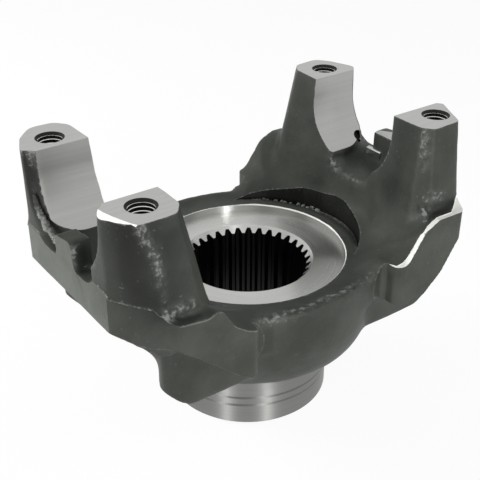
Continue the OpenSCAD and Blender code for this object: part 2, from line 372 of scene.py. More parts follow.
def distance_to_line(places, line, reach):
    """Distance of each place to a line given in millimetres, as a share of the line's reach."""
    points = np.array(line) * MM
    best = np.full(len(places), 1.0)
    for a, b in zip(points[:-1], points[1:]):
        run = b - a
        share = np.clip((places - a) @ run / (run @ run), 0, 1)
        best = np.minimum(best, np.linalg.norm(places - a - share[:, None] * run, axis=1))
    return best / (reach * MM)


def write_map(piece, name, values):
    """Store a number for each vertex, which the materials read."""
    layer = piece.data.attributes.new(name, "FLOAT", "POINT")
    layer.data.foreach_set("value", values.astype(np.float32))


# Forged blank, in millimetres as drawn on paper

# Metal that the trimming die still has to shear off
FLASH = 0.8

# Upper edge of each band: x, z and the radius of the corner
BAND_TOP = {
    1: [
        (0, 67.8, 0), (24, 68.3, 0), (35, 75.6, 0), (41.5, 76.6, 5), (50.5, 89.5, 5), (58, 93, 5),
        (71, 92.7, 0), (88, 95.4, 0),
    ],
    -1: [
        (0, 67.8, 0), (24, 68.3, 0), (36, 73.7, 0), (42.7, 76.6, 5), (48.5, 81, 4), (54.5, 91, 3),
        (60, 88.9, 5), (72, 90.3, 0), (80, 94.2, 0), (88, 94.9, 0),
    ],
}
# Lower edge of each band, back from the flat end to the middle
BAND_FOOT = {
    1: [
        (88, 80, 0), (71.8, 80, 5), (63, 66, 6), (53, 57, 8), (43.5, 55.4, 6), (35, 57.6, 0),
        (0, 57.5, 0),
    ],
    -1: [
        (88, 80, 0), (72.5, 79.8, 4), (64, 72.6, 5), (47.5, 58, 6), (40, 53, 5), (36, 54.7, 0),
        (0, 56, 0),
    ],
}


def band_plan(s, grow=0.0):
    """Plan of the parting band around one ear; grow is the flash still to be trimmed."""
    boss = s.boss_radius / MM
    wing = s.wing_inner / MM - grow
    side = s.band_side / MM + grow
    return both_sides([
        (0, boss - 11, 0),
        (boss * 0.24, boss * 0.968, 0),
        (wing, 50.5, 2.5),
        (wing, side, 4.0),
        (72.5 + grow * 0.4, side, 4),
        (s.end / MM + grow, s.end_half / MM + grow * 0.4, 0),
    ])


# Outline of an ear's half at the root of its prong, from the saddle round to the flat end
EAR_ROOT = [
    (59.6, 15, 3), (56.6, 27.5, 6), (51.5, 45.5, 5), (59.7, 53.5, 5), (75.2, 53.5, 6),
    (84.8, 39.9, 4), (87.5, 33.5, 0),
]
# The same outline at the top of each prong, by the signs of its X and Y
PRONG_TOPS = {
    (1, 1): [
        (59.4, 15, 3), (59.8, 27.5, 4), (60.8, 43, 3), (64.8, 49, 4), (77.8, 50.3, 5),
        (82.5, 44, 4), (86.3, 33, 0),
    ],
    (1, -1): [
        (57.3, 15, 3), (57.4, 27.5, 3), (57.3, 43.8, 3), (60.8, 48.5, 3), (75.8, 48, 1),
        (80.5, 38.6, 2), (85.4, 29.4, 0),
    ],
    (-1, 1): [
        (59.6, 15, 3), (60.2, 27.5, 4), (60.4, 45, 4), (65, 50.8, 5), (75.8, 51.2, 7),
        (83.9, 42.6, 6), (87.8, 33.6, 0),
    ],
    (-1, -1): [
        (59.6, 15, 3), (60.6, 27.5, 3), (60.8, 43, 4), (65.5, 49.2, 4), (81.3, 48.9, 1),
        (85.2, 41, 2), (88, 33.4, 0),
    ],
}
# How far each of those corners runs in towards the boss at the foot of the ear
SWEEP = (2, 6, 6.5, 4, 0, 0, 0)
# Levels of the rings through an ear: 0 at the root of its prongs and 1 at their tops
FOOT_LEVEL = -0.42
EAR_LEVELS = (FOOT_LEVEL, -0.2, 0, 0.2, 0.45, 0.72, 1, 1.1)


def ear_half(top, level):
    """Outline of an ear's half at a level; below 0 its inner side runs in towards the boss."""
    up = max(level, 0)
    sweep = max(-level, 0) / -FOOT_LEVEL
    rows = []
    for low, high, pull in zip(EAR_ROOT, top, SWEEP):
        x, y, radius = (a + (b - a) * up for a, b in zip(low, high))
        rows.append((x - pull * sweep, y, radius))
    return rows


def ear_block(s, side):
    """Block of an ear with both prongs still joined."""
    rings = []
    for level in EAR_LEVELS:
        front = ear_half(PRONG_TOPS[side, -1], level)
        back = ear_half(PRONG_TOPS[side, 1], level)
        outline = rounded(back + [(x, -y, r) for x, y, r in reversed(front)])
        height = s.root_height + (s.top_height - s.root_height) * level
        rings.append([(side * p.x * MM, p.y * MM, height) for p in outline])
    envelope = [(0, 67.8), (68, 69.8), (88.6, 80.3), (88.6, 150), (0, 150)]
    tool = add_prism("envelope", mirrored(scaled(envelope), side), "Y", *ACROSS)
    return combine(add_loft("ear_block", rings), tool, "INTERSECT")


def parting_band(s, side):
    """Upright band that the trimming die leaves, waved in height."""
    plan = mirrored(scaled(rounded(band_plan(s, FLASH))), side)
    band = add_prism("band", plan, "Z", *THROUGH)
    top = [(x, z + 0.3, radius) for x, z, radius in BAND_TOP[side]]
    outline = top + [(90, 95.8, 0), (90, 80.5, 0)] + BAND_FOOT[side]
    wave = mirrored(scaled(rounded(outline)), side)
    return combine(band, add_prism("wave", wave, "Y", *ACROSS), "INTERSECT")


def web(s, side):
    """Web under the middle of an ear."""
    plan = mirrored(scaled(rounded(band_plan(s))), side)
    piece = add_prism("web", plan, "Z", *THROUGH)
    profile = [
        (0, 33, 0), (48, 33, 6), (75, 68, 12), (88, 80, 0),
        (88, 89, 0), (62.5, 89, 0), (40, 67.8, 0), (0, 67.8, 0),
    ]
    tool = add_prism("profile", mirrored(scaled(rounded(profile)), side), "Y", -0.036, 0.036)
    return combine(piece, tool, "INTERSECT")


def gusset(side, hand):
    """Gusset that carries a prong down to the boss, below the band."""
    plan = [
        (32, hand * 31, 0), (66.5, hand * 31, 4), (75.5, hand * 48, 6),
        (32, hand * 48, 4), (22, hand * 38, 0),
    ]
    piece = add_prism("gusset", mirrored(scaled(rounded(plan)), side), "Z", 0.041, 0.083)
    profile = [
        (0, 41, 0), (62.5, 42, 8), (72.5, 51, 8), (76.5, 60, 8), (76.5, 84, 0), (31, 67.5, 0),
        (0, 67.5, 0),
    ]
    tool = add_prism("profile", mirrored(scaled(rounded(profile)), side), "Y", -0.06, 0.06)
    return combine(piece, tool, "INTERSECT")


def boss(s):
    """Round boss with its skirt and the neck of the hub."""
    low = s.skirt_height / MM
    skirt = s.skirt_radius / MM
    outer = s.boss_radius / MM
    rim = s.rim_height / MM
    flank = outer - skirt
    profile = [
        (0, low - 12), (38, low - 12), (38.6, low - 3), (42, low), (skirt - 3, low),
        (skirt, low + 2),
    ]
    for k in range(1, 7):
        angle = math.radians(15 * k)
        rise = 22 * (1 - math.cos(angle))
        profile.append((skirt + flank * math.sin(angle), low + 2 + rise))
    profile += [(outer, rim + 0.8), (outer - 1.2, rim + 2), (outer - 3.5, rim + 1.6)]
    profile += [(s.rim_radius / MM, rim), (0, rim)]
    return add_turned("boss", scaled(profile))


def dish_cut():
    """Dish between the ears, from the boss's edge up to the tops of the wings."""
    profile = [
        (0, 66), (47.5, 66), (47.5, 70), (52, 72.2), (58, 75.8), (62, 78.4), (74.5, 87.5),
        (81, 94), (81, 125), (0, 125),
    ]
    return add_turned("dish", scaled(profile), 96)


# Trough behind each front ledge, at the foot of its prong, with the radius at each point
TROUGHS = {
    1: [(57, -53.6, 94.2), (65, -53.4, 94.4), (73, -52.6, 94.8)],
    -1: [(-58, -54, 90), (-66, -53.8, 90.2), (-73, -52.8, 91.2)],
}
TROUGH_RADII = (1.2, 2.4, 1.2)


def trough_cut(side):
    """Trough between a wing's ledge and the foot of its prong."""
    angles = [math.pi * k / 8 for k in range(16)]
    rings = []
    for (x, y, z), radius in zip(TROUGHS[side], TROUGH_RADII):
        rings.append([
            (x * MM, (y + radius * math.cos(a)) * MM, (z + radius * math.sin(a)) * MM) for a in angles
        ])
    return add_loft("trough", rings)


def saddle_cut(s, m, side):
    """Rough saddle between the prongs, left smaller than the seat by the stock."""
    radius = m.seat_radius - s.stock
    axis = m.axis_height
    start = side * 0.05
    reach = side * 0.05
    drum = add_turned("drum", rectangle(0, 0, radius, reach), 96, CROSS, (start, 0, axis))
    opening = [(-radius, axis), (radius, axis), (radius + MM, ABOVE), (-radius - MM, ABOVE)]
    return join(drum, add_prism("slot", opening, "X", start, start + reach))


# Rings of the lip outside each seat: x, radius, how much flatter its foot is, width at its top
LIP_RINGS = ((83.3, 27.5, 0, 27.5), (85.2, 29.3, 1.8, 30.4), (88.8, 30.8, 3.4, 33.6))


def bevel_cut(m, side):
    """Forged lip that opens the saddle outwards, square at one corner and round at the other."""
    axis = m.axis_height / MM
    rings = []
    for x, reach, drop, flare in LIP_RINGS:
        ring = []
        for k in range(25):
            angle = math.radians(360 - 7.5 * k)
            along, down = abs(math.cos(angle)), abs(math.sin(angle))
            radius = reach - drop * down
            if math.cos(angle) > 0 and x > 88:
                flat = (along / (reach + 0.2)) ** 5 + (down / (27.4 + 0.1 * drop)) ** 5
                radius = flat ** -0.2
            elif math.cos(angle) > 0:
                radius = reach - drop * down ** 3
            y = radius * math.cos(angle)
            z = axis + radius * math.sin(angle)
            ring.append((side * x * MM, y * MM, z * MM))
        ring.append((side * x * MM, -flare * MM, ABOVE))
        ring.append((side * x * MM, flare * MM, ABOVE))
        rings.append(ring)
    return add_loft("lip", rings)


def pocket_cut(side):
    """Forged pocket under the seat, which widens beside the lug."""
    half = [(9, 89.8, 3), (13, 95.5, 1.5), (15, 100, 0)]
    outline = [(-x, z, r) for x, z, r in reversed(half)] + half
    pocket = add_prism("pocket", scaled(rounded(outline)), "X", side * 0.055, side * 0.0803)
    rings = []
    for height, shrink in ((94, 2.5), (96.4, 0), (101, 0), (106, 0)):
        half = [
            (60.2 + shrink, 0, 0), (60.2 + shrink, 13.4 - shrink, 2), (63, 12.8 - shrink, 0),
            (70, 12.9 - shrink, 0), (76, 15.2 - shrink, 0), (80.5, 17.4 - shrink, 0),
            (82.6, 19.2 - shrink, 1), (83.7, 21.8 - shrink, 0), (92, 21.8 - shrink, 0),
        ]
        outline = rounded(both_sides(half))
        rings.append([(side * q.x * MM, q.y * MM, height * MM) for q in outline])
    return join(pocket, add_loft("relief", rings))


# Top, inner face and outer face of each lug
LUGS = {1: (107.9, 0.0802, 0.0880), -1: (105.6, 0.0790, 0.0890)}


def lug(side):
    """Lug that stops the bearing cup."""
    top, inner, outer = LUGS[side]
    outline = rounded([(-7.6, 86, 0), (8, 86, 0), (6.9, top - 2.0, 1.5), (-6.7, top, 1.5)])
    return add_prism("lug", scaled(outline), "X", side * inner, side * outer)


def lug_guard(side, inner, outer):
    """Box round a lug, which keeps the cutting tools off it."""
    outline = scaled(rectangle(-8.6, 85, 8.6, 109))
    return finished(add_prism("guard", outline, "X", side * inner, side * outer), "forged_scale")


def step_bar():
    """Small bar left by the die in front of the right-hand lug, bare on top and at one end, where its
    near-white finish is partly a painted highlight.
    """
    outline = rounded([(79.2, 88, 0), (81.4, 88, 0), (81.4, 96.7, 0.3), (79.5, 96.3, 0.6)])
    bar = finished(add_prism("bar", scaled(outline), "Y", 0.001, 0.0104), "forged_scale")
    return finish_some(bar, "bare_metal_and_highlight", lambda face: face.normal.z > 0.3 or face.normal.y > 0.9)


def lap():
    """Open fold in the right-hand seat, where the metal did not close; its inside is painted near
    black as painted shade.
    """
    fold = add_turned("lap", [(0, 0), (0.0029, 0), (0.0031, 0.009), (0, 0.0098)], 20)
    aim = Vector((0.0, 0.88, -0.47)).to_track_quat("Z", "Y").to_matrix().to_4x4()
    aim.translation = Vector((0.0806, 0.0126, 0.1020))
    fold.data.transform(aim)
    return finished(fold, "open_fold")


def valley_cut(s, side):
    """Crescent valley between the rim and an ear, its outer wall leaning outwards and painted near
    black as painted shade.
    """
    turn = math.radians(12)
    shift = 0.0165
    centre = (side * shift * math.cos(turn), shift * math.sin(turn), 0)
    low = s.rim_height - 0.003
    wall = [(0, low), (0.0398, low), (0.0414, low + 0.0106), (0, low + 0.0106)]
    cone = finished(add_turned("cone", wall, 128, UP, centre), "forged_scale")
    # The steep wall takes the near-black crescent finish: painted shade.
    finish_some(cone, "crescent_wall_shade", lambda face: abs(face.normal.z) < 0.8)
    keep = s.rim_radius + HAIR
    top = s.rim_height
    post = [(0, 0.06), (keep, 0.06), (keep, top), (keep - 0.004, top + MM), (0, top + MM)]
    return cut(cone, finished(add_turned("post", post, 96), "forged_scale"))


# x and y along the outer top edge of the left front prong, share of the facet's full width
SLIVER = [
    (-80.9, -49.0, 0.02), (-82.6, -46.2, 0.2), (-84.5, -42.3, 0.47),
    (-86.2, -38.2, 0.74), (-87.6, -34.0, 1.0), (-88.3, -30.4, 1.2),
]


def sliver_cut():
    """Bright facet along the outer top edge of one prong, running out at its front corner; its
    near-white finish is bare metal with a painted highlight.
    """
    slope = Vector((1.31, 0.72, 2.0))
    rings = []
    for x, y, share in SLIVER:
        low = Vector((x, y, 130 - slope.z * share))
        top = low + slope * (share + 0.8)
        bottom = low - slope * 0.8
        rings.append([v * MM for v in (top, bottom, Vector((bottom.x, bottom.y, top.z)))])
    return finished(add_loft("sliver", rings), "bare_metal_and_highlight")


# Rough marks on the skin: line, reach of the mark, height of its lumps, how bare it is
MARKS = [
    ([(-80.9, -48.4, 129), (-78, -50.5, 122), (-75.7, -51.2, 116), (-74.9, -52, 107)], 2.4, 0.7, 0.65),
    ([(-74.9, -52, 107), (-74.1, -53.2, 98.6), (-72, -53.6, 94)], 1.6, 0.35, 0.3),
    ([(57.6, -46.0, 128), (57, -47.4, 120), (56, -48.5, 113)], 2.2, 0.8, 0.8),
    ([(56, -48.5, 113), (54, -50, 104), (54.5, -51.5, 98)], 1.6, 0.35, 0.3),
    ([(-76, -53.6, 92.5), (-70, -53.8, 93.4), (-64, -53.6, 93.6)], 2.6, 0.8, 0.9),
    ([(53.2, -52.2, 97), (55.2, -53.4, 93.5), (57.2, -54, 91)], 2.2, 0.8, 1.0),
    ([(57, -51.5, 99.5), (60.5, -52, 101), (66, -52.3, 98.6)], 2.2, 0.6, 0.7),
    ([(-31, -51, 71.4), (-10, -52.5, 71.4), (5, -52.6, 71.4), (14, -52.6, 71.4)], 2.6, 0.5, 0.9),
    ([(18, -52, 71.4), (27, -51, 71.8), (33, -50, 73)], 1.8, 0.4, 0.55),
    ([(59, 14, 94.5), (59.5, 8, 90.6), (60.5, -1, 89.8), (59.5, -8, 91.5)], 2.8, 0.6, 0.5),
    # Bare, light ridge on the left-hand lip: torn metal and partly a painted highlight on its rounded
    # top.
    ([(-86.6, 26, 110), (-86.3, 22.5, 104.4), (-85.4, 14, 98), (-86.6, 9, 97)], 1.7, 0.5, 0.95),
    ([(-87.4, 32.2, 128.8), (-84.6, 29, 128.8)], 1.3, 0.3, 1.0),
    ([(-88, -5.8, 104.3), (-88, -6.4, 98), (-86, -6.6, 104)], 1.3, 0.4, 0.9),
    ([(-88, -9.2, 95.6), (-88, -14, 96.6), (-88, -18, 98.6), (-88, -25, 105.5)], 1.0, 0.3, 0.95),
    ([(79.4, 1.2, 96.6), (79.4, 9.4, 96.8)], 1.1, 0.1, 1.0),
    ([(36, 31, 75), (42.6, 29, 75.5), (47, 27, 76)], 1.3, 0.8, 0.9),
    (
        [(31, 37, 69.6), (36.5, 34.5, 69.2), (43, 27.5, 68.8), (48.5, 19.5, 68.5), (51, 12, 68.5)],
        1.9, 0.7, 0.7,
    ),
]


def roughen(blank):
    """Crumbly scale and torn flash along the marks; also fills the map of bare metal."""
    places, _ = arrays(blank)
    normals = vertex_normals(blank)
    bareness = np.zeros(len(places))
    for line, reach, height, share in MARKS:
        distance = distance_to_line(places, line, reach)
        for k in np.nonzero(distance < 2.2)[0]:
            fade = math.exp(-distance[k] ** 2)
            point = Vector(places[k])
            lump = noise.noise(point * 420) + 0.6 * noise.noise(point * 900)
            places[k] += normals[k] * (lump * height * MM * fade)
            bareness[k] = max(bareness[k], share * fade * min(1, max(0, 0.55 + lump)))
    place_vertices(blank, places)
    write_map(blank, "bare", bareness)


# Painted shade: places where the scale is darkened towards black in hollows, grooves and on faces
# turned from the lamps: line, reach, strength
PAINTED_SHADE_LINES = [
    ([(-86, 30, 128), (-86, 28.5, 116), (-86, 26.5, 109)], 5, 0.85),
    ([(-84.6, 25, 110), (-84.6, 21.6, 103.6), (-84, 16, 99)], 2.4, 0.75),
    ([(-87.6, 25.5, 103.5), (-87.4, 19, 97.5), (-87, 12, 95.4)], 1.6, 0.6),
    ([(-84, -45, 126), (-85, -46, 108), (-81, -51, 96)], 13, 0.85),
    ([(-72, -53, 120), (-72, -54, 98)], 8, 0.55),
    ([(-83, -8.4, 101), (-83, -8.6, 97), (-86, -10, 94)], 2.6, 0.75),
    ([(58, -36, 128), (57.5, -34, 108), (56, -30, 96)], 9, 0.45),
    ([(56, -54.5, 92.6), (64, -54.4, 94.4), (73, -53.4, 94.8)], 2.2, 0.8),
    ([(60.6, 13, 95.6), (67, 12, 95), (76, 14, 96)], 1.5, 0.8),
]


def paint_shade_map(blank):
    """Fill the map of painted shade, which darkens hollows and faces turned from the lamps."""
    places, _ = arrays(blank)
    depth = np.zeros(len(places))
    for line, reach, share in PAINTED_SHADE_LINES:
        distance = distance_to_line(places, line, reach)
        depth = np.maximum(depth, share * np.exp(-distance ** 2))
    write_map(blank, "painted_shade", depth)


RIDGE = [
    (-86.7, 27, 112), (-86.6, 25.2, 107.8), (-86.4, 22.5, 104.2), (-85.9, 18.6, 100.4),
    (-85.3, 14, 97.5), (-86.2, 9.5, 95.6),
]
RIDGE_RADIUS = 1.35
# The ridge stays just inside the flat end of its ear
RIDGE_END = -87.8


def ridge():
    """Rough ridge on the left-hand lip, where the die let the metal run; its light finish is torn
    flash and partly a painted highlight on the lip's rounded top.
    """
    line = [Vector(point) for point in RIDGE]
    rings = []
    count = 44
    for k in range(count + 1):
        point, along = walk(line, k / count)
        across = along.cross(Vector((1, 0, 0))).normalized()
        out = across.cross(along)
        taper = math.sin(math.pi * (0.06 + 0.88 * k / count)) ** 0.7
        ring = []
        for j in range(10):
            angle = 2 * math.pi * j / 10
            seed = Vector((k * 0.8, math.cos(angle) * 1.5, math.sin(angle) * 1.5))
            reach = RIDGE_RADIUS * taper * (1 + 0.9 * noise.noise(seed))
            place = point + (across * math.cos(angle) + out * math.sin(angle)) * reach
            place.x = max(place.x, RIDGE_END)
            ring.append(place * MM)
        rings.append(ring)
    return finished(add_loft("ridge", rings), "torn_flash")


# Seed of the vector noise that shifts the crumbs, which differs from run to run without one
CRUMB_SEED = 1
# Crumbs of flash: line, number of crumbs, size of a crumb
CRUMBS = [
    (
        [
            (31, 38.5, 69.4), (36, 36.4, 69.4), (41.5, 31, 69.2), (46.2, 24, 69.2),
            (49.5, 15.5, 69.4), (50.6, 9, 69.6),
        ],
        34, 0.95,
    ),
    ([(54.2, -52.6, 96.2), (56, -53.6, 93)], 6, 0.9),
    ([(59.4, 13.4, 94), (59.6, 10.5, 91.5)], 6, 0.9),
    ([(80.2, 16.8, 98.6), (82.0, 14.8, 97.2)], 4, 0.5),
]


def add_crumbs(blank, line, count, size):
    """Torn crumbs of flash that stand along a line."""
    line = [Vector(point) for point in line]
    for k in range(count):
        point, _ = walk(line, (k + 0.5) / count)
        point += 1.3 * noise.noise_vector(Vector((k * 3.7, size, 0.5)))
        reach = size * (0.75 + 0.9 * noise.noise(Vector((k * 5.3, 1.5, size))))
        bpy.ops.object.select_all(action="DESELECT")
        bpy.ops.mesh.primitive_ico_sphere_add(subdivisions=2, radius=reach * MM)
        crumb = bpy.context.object
        for vertex in crumb.data.vertices:
            lump = 1 + 0.45 * noise.noise(vertex.co * 900 + Vector((k * 2.1, 0, 0)))
            vertex.co = vertex.co * lump + point * MM
        blank = join(blank, finished(crumb, "torn_flash"))
    return blank


class YOKE_OT_forging(bpy.types.Operator):
    """Model the forged blank: boss, two ears and gussets, melted together and dented"""

    bl_idname = "yoke.forging"
    bl_label = "Forged blank"

    def execute(self, context):
        s = context.scene.yoke_forging
        m = context.scene.yoke_machining
        blank = boss(s)
        blank.name = PIECE
        for side in (1, -1):
            ear = join(parting_band(s, side), web(s, side))
            ear = cut(ear, dish_cut())
            ear = join(ear, ear_block(s, side))
            ear = cut(ear, add_turned("clearance", rectangle(0, 0.066, 0.0475, 0.077)))
            for hand in (1, -1):
                ear = join(ear, gusset(side, hand))
            blank = join(blank, ear)
        for side in (1, -1):
            blank = cut(blank, saddle_cut(s, m, side))
            blank = cut(blank, bevel_cut(m, side))
            blank = cut(blank, pocket_cut(side))
            blank = join(blank, lug(side))
            blank = cut(blank, trough_cut(side))
        apply_modifier(blank, "REMESH", mode="VOXEL", voxel_size=s.voxel)
        fill_hollows(blank, 22)
        apply_modifier(blank, "SMOOTH", factor=0.5, iterations=3)
        dents = bpy.data.textures.new("dents", "CLOUDS")
        dents.noise_scale = 0.018
        dents.noise_depth = 2
        apply_modifier(
            blank, "DISPLACE", texture=dents, texture_coords="LOCAL", strength=s.dent, mid_level=0.6
        )
        roughen(blank)
        finished(blank, "forged_scale")
        return {"FINISHED"}


# Trimmed faces


def trim_die(s):
    """Plan of the whole forging inside the trimming die; its flat ends get a lighter finish, which is
    painted light.
    """
    clear = s.boss_radius + HAIR
    die = finished(add_turned("die", rectangle(0, -0.01, clear, ABOVE), 160), "sheared_scale")
    for side in (1, -1):
        plan = mirrored(scaled(rounded(band_plan(s), 8)), side)
        ear = finished(add_prism("ear", plan, "Z", -0.01, 0.0955), "sheared_scale")
        # The flat ends take the lighter end finish: painted light.
        finish_some(ear, "end_lit_scale", lambda face: (
            abs(face.normal.x) > 0.99 and abs(face.center.x) > s.end - MM
        ))
        die = join(die, ear)
    square = rectangle(-s.end, -s.band_side, s.end, s.band_side)
    # Faces cut by the box above the bands take the same painted light.
    return join(die, finished(add_prism("above", square, "Z", 0.0951, ABOVE), "end_lit_scale"))


def ledge_tool(s, side):
    """Cut that leaves a ledge along the top of a front wing: wide, bright and round its corner on the
    right, narrow and torn on the left. The bright ledge is bare metal with a painted highlight."""
    wide = side > 0
    outline = rounded(BAND_TOP[side]) + [Vector((90, 96)), Vector((90, 100)), Vector((0, 100))]
    tool = add_prism("ledge", mirrored(scaled(outline), side), "Y", 0, -0.065)
    wing = s.wing_inner / MM
    reach = s.band_side / MM - (2.2 if wide else 0.55)
    turn = [(67, reach), (76.5, 51.2), (82, 43), (90, 31)] if wide else [(72.6, reach), (92, 60)]
    inner = [(0, 0), (wing - 4, 0), (wing - 4, 40), (wing + 1, reach - 0.5), (wing + 4, reach)]
    inner += turn + [(92, 0)]
    keep = mirrored(scaled([(x, -y) for x, y in inner]), side)
    keep = finished(add_prism("keep", keep, "Z", 0.05, 0.13), "bare_metal_and_highlight")
    near = 50 if wide else 55
    low = mirrored(scaled([(wing, -near), (90, -33), (90, -70), (wing, -70)]), side)
    low = finished(add_prism("side", low, "Z", 0.05, 0.13), "bare_metal_and_highlight")
    tool = combine(cut(finished(tool, "bare_metal_and_highlight"), keep), low, "INTERSECT")
    return tool if wide else finished(tool, "torn_flash")


class YOKE_OT_trimming(bpy.types.Operator):
    """Shear the flash off all round, leave the bright ledges on the wings and cut the crescents"""

    bl_idname = "yoke.trimming"
    bl_label = "Trimmed faces"

    def execute(self, context):
        s = context.scene.yoke_forging
        m = context.scene.yoke_machining
        blank = combine(bpy.data.objects[PIECE], trim_die(s), "INTERSECT")
        for side in (1, -1):
            blank = cut(blank, ledge_tool(s, side))
        for side in (1, -1):
            lip = finished(bevel_cut(m, side), "forged_scale")
            bpy.ops.object.mode_set(mode="EDIT")
            bpy.ops.mesh.select_all(action="SELECT")
            bpy.ops.mesh.subdivide(number_cuts=2)
            bpy.ops.object.mode_set(mode="OBJECT")
            blank = cut(blank, cut(lip, lug_guard(side, 0.078, 0.092)))
            blank = cut(blank, valley_cut(s, side))
        cut(blank, sliver_cut())
        return {"FINISHED"}


# Machined faces


def seat_tool(m, side):
    """Boring cut of one bearing seat."""
    start = side * 0.045
    reach = side * (m.seat_outer - 0.045)
    r = m.seat_radius
    axis = m.axis_height
    drum = add_turned("seat", rectangle(0, 0, r, reach), 128, CROSS, (start, 0, axis))
    slot = add_prism("slot", rectangle(-r, axis, r, ABOVE), "X", start, start + reach)
    drum = join(finished(drum, "bored_steel"), finished(slot, "bored_steel"))
    return cut(drum, lug_guard(side, 0.0784, 0.09))


def thread_tool(m, x, y, top):
    """Tapped hole with its countersink; its flanks are painted near black as painted shade, and the
    crests of its thread are brighter as painted highlights.
    """
    root = m.thread_radius
    tip = m.thread_radius - 0.0009
    pitch = m.thread_pitch
    floor = top - m.bolt_depth
    profile = [(0, floor - 0.003), (tip, floor)]
    height = floor + 0.006
    while height < top - 0.0012:
        profile += [(tip, height), (tip, height + pitch * 0.1), (tip + 0.00022, height + pitch * 0.2)]
        profile += [(root - HAIR, height + pitch * 0.54), (root - HAIR, height + pitch * 0.62)]
        height += pitch
    profile += [(tip, top - MM), (root + 0.0012, top + MM), (0, top + MM)]
    # Near-black flanks: painted shade; brighter crests: painted highlights.
    tap = finished(add_turned("thread", profile, 40, UP, (x, y, 0)), "tapped_steel")
    return finish_some(tap, "thread_crest", lambda face: (
        math.hypot(face.center.x - x, face.center.y - y) < tip + 0.00018
        and face.center.z > floor + 0.008
    ))


# Corners of a spline tooth: share of the pitch, share of the tooth's height
TOOTH = ((-0.37, 0), (-0.25, 0.55), (-0.14, 1), (0.14, 1), (0.25, 0.55), (0.37, 0))


def spline_outline(m):
    """Cross section of the splined bore."""
    points = []
    pitch = 2 * math.pi / m.teeth
    for k in range(m.teeth):
        for share, rise in TOOTH:
            radius = m.tip_radius + rise * m.tooth_height
            angle = (k + share) * pitch
            points.append((radius * math.cos(angle), radius * math.sin(angle)))
    return points


def lathe_cut(blank, name, profile, finish):
    """Cut made on the lathe, round the spline axis."""
    return cut(blank, finished(add_turned(name, profile, 160), finish))


def journal(m):
    """Turned journal on the hub, with a chamfered foot and two grooves; its steel is darker than the
    faced steel, as painted shade under the body.
    """
    hub = m.hub_radius
    return finished(add_turned("journal", [
        (0, 0), (hub - 0.0012, 0), (hub, 0.0012),
        (hub, 0.0102), (hub - 0.0009, 0.0110), (hub + 0.0006, 0.0119),
        (hub + 0.0006, 0.0148), (hub - 0.0003, 0.0156), (hub + 0.0012, 0.0165),
        (hub + 0.0012, 0.026), (0, 0.026),
    ], 160), "turned_steel")


def bare_edges(blank):
    """Map the skin along cut edges, where the scale is broken and the metal shows."""
    mesh = blank.data
    names = [material.name for material in mesh.materials]
    forged = np.zeros(len(mesh.vertices), dtype=bool)
    machined = np.zeros(len(mesh.vertices), dtype=bool)
    for face in mesh.polygons:
        touched = forged if names[face.material_index] == "forged_scale" else machined
        touched[face.vertices] = True
    write_map(blank, "edge", forged & machined)


class YOKE_OT_machining(bpy.types.Operator):
    """Cut the machined faces from the blank: seats, tops, tapped holes, nut face, hub and bore"""

    bl_idname = "yoke.machining"
    bl_label = "Machined faces"

    def execute(self, context):
        s = context.scene.yoke_forging
        m = context.scene.yoke_machining
        blank = join(bpy.data.objects[PIECE], journal(m))
        square = rectangle(-0.1, -0.1, 0.1, 0.1)
        tops = add_prism("tops", square, "Z", s.top_height, 0.16)
        blank = cut(blank, finished(tops, "milled_steel"))
        for side in (1, -1):
            blank = cut(blank, seat_tool(m, side))
        blank = cut(blank, lap())
        blank = join(blank, step_bar())
        slope = scaled([(79, 104.4), (84.6, 107.4), (90, 107.4), (90, 112), (79, 112)])
        slope = add_prism("slope", slope, "Y", -0.009, 0.009)
        blank = cut(blank, finished(slope, "milled_steel"))
        blank = join(blank, ridge())
        noise.seed_set(CRUMB_SEED)
        for line, count, size in CRUMBS:
            blank = add_crumbs(blank, line, count, size)
        for side in (1, -1):
            for hand in (1, -1):
                tap = thread_tool(m, side * m.bolt_x, hand * m.bolt_y, s.top_height)
                blank = cut(blank, tap)
        face = m.face_radius
        low = m.face_height
        blank = lathe_cut(blank, "sink", rectangle(0, low, face, low + 0.01), "faced_steel")
        # A thin near-white ring round the nut face's edge: bare metal with a painted highlight.
        bottom = s.rim_height - 0.0004
        top = s.rim_height + 0.0004
        edge = [(0, bottom), (face - HAIR, bottom), (face + 0.0007, top), (0, top)]
        blank = lathe_cut(blank, "edge", edge, "bare_metal_and_highlight")
        # The splined bore is painted near black: painted shade inside the bore.
        bore = add_prism("bore", spline_outline(m), "Z", -0.01, 0.08)
        blank = cut(blank, finished(bore, "splined_steel"))
        tip = m.tip_radius
        run = m.tooth_height + m.bore_chamfer
        mouth = m.tip_radius + m.tooth_height + m.bore_chamfer
        upper = [(0, low - run), (tip, low - run), (mouth + MM, low + MM), (0, low + MM)]
        blank = lathe_cut(blank, "upper", upper, "faced_steel")
        lower = [(0, run), (tip, run), (mouth + MM, -MM), (0, -MM)]
        blank = lathe_cut(blank, "lower", lower, "faced_steel")
        bare_edges(blank)
        paint_shade_map(blank)
        select_only(blank)
        bpy.ops.object.shade_smooth_by_angle(angle=math.radians(34))
        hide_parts("yoke")
        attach(blank, "root")
        return {"FINISHED"}


# Materials


def new_material(name):
    """An empty node material, and its node tree."""
    material = bpy.data.materials.new(name)
    material.use_nodes = True
    return material.node_tree


def shader_of(tree):
    """The Principled BSDF of a material's tree."""
    return tree.nodes["Principled BSDF"]


def set_inputs(node, values):
    """Set input values by name."""
    for name, value in values.items():
        node.inputs[name].default_value = value


def add_node(tree, kind, sockets=None, **values):
    """A shader node. A value sets the setting or input of its name, and an output is linked."""
    node = tree.nodes.new(kind)
    for key, value in {**values, **(sockets or {})}.items():
        if isinstance(key, str) and key not in node.inputs:
            setattr(node, key, value)
        elif isinstance(value, bpy.types.NodeSocket):
            tree.links.new(value, node.inputs[key])
        else:
            node.inputs[key].default_value = value
    return node


